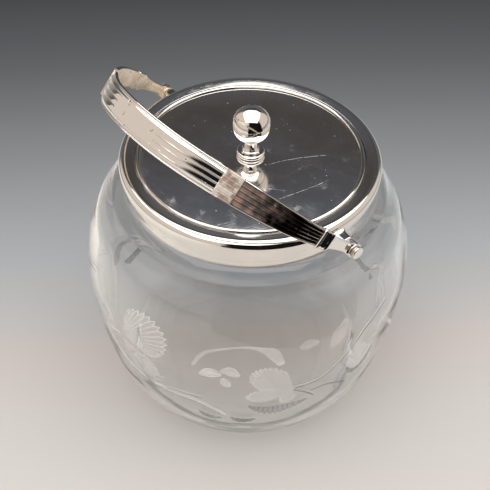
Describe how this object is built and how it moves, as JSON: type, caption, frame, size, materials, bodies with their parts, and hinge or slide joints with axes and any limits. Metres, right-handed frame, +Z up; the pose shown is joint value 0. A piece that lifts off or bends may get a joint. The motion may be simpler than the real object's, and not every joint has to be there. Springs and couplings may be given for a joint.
{
  "type": "biscuit barrel",
  "caption": "Round clear-glass biscuit barrel with a silver-plated collar, a lift-off lid with a ball knob and an arched swing handle.",
  "frame": {"origin": "centre of the base, on the plane the foot ring stands on", "axes": "+Z up through the knob; X along the handle's pivot line; the handle leans towards -Y at rest"},
  "size_m": [0.158, 0.158, 0.1907],
  "materials": {
    "jar_glass": "polished clear glass with frosted wheel-engraved foliage",
    "collar_silver": "polished silver plate, lightly rubbed",
    "lid_silver": "flat mirror-polished silver plate with fine polishing scratches",
    "knob_silver": "polished silver plate",
    "handle_silver": "polished silver plate with tarnish in the reeding",
    "fixing_brass": "turned brass, dull",
    "bedding_plaster": "set plaster of Paris, matt"
  },
  "bodies": {
    "jar": {"glass_jar": "jar_glass", "collar_wall": "collar_silver", "collar_roll": "collar_silver", "collar_seat": "collar_silver", "plaster_bed": "bedding_plaster", "lug_right": "collar_silver", "lug_left": "collar_silver", "pivot_pin_right": "handle_silver", "pivot_pin_left": "handle_silver", "pivot_washer_right": "handle_silver", "pivot_washer_left": "handle_silver"},
    "handle": {"handle_band": "handle_silver", "handle_end_right": "handle_silver", "handle_end_left": "handle_silver"},
    "lid": {"lid_plate": "lid_silver", "lid_edge_bead": "collar_silver", "lid_locating_ring": "collar_silver", "knob_ball": "knob_silver", "knob_stem": "knob_silver", "knob_foot": "knob_silver", "knob_stud": "fixing_brass", "knob_washer": "fixing_brass", "knob_nut": "fixing_brass"}
  },
  "joints": [
    {"name": "handle_swing", "type": "hinge", "parent": "jar", "child": "handle", "pos_m": [0, 0, 0.1333], "axis": [-1, 0, 0], "range_deg": [0, 97.4]},
    {"name": "lid_lift", "type": "slide", "parent": "jar", "child": "lid", "axis": [0, 0, 1], "range_m": [0, 0.075]}
  ]
}
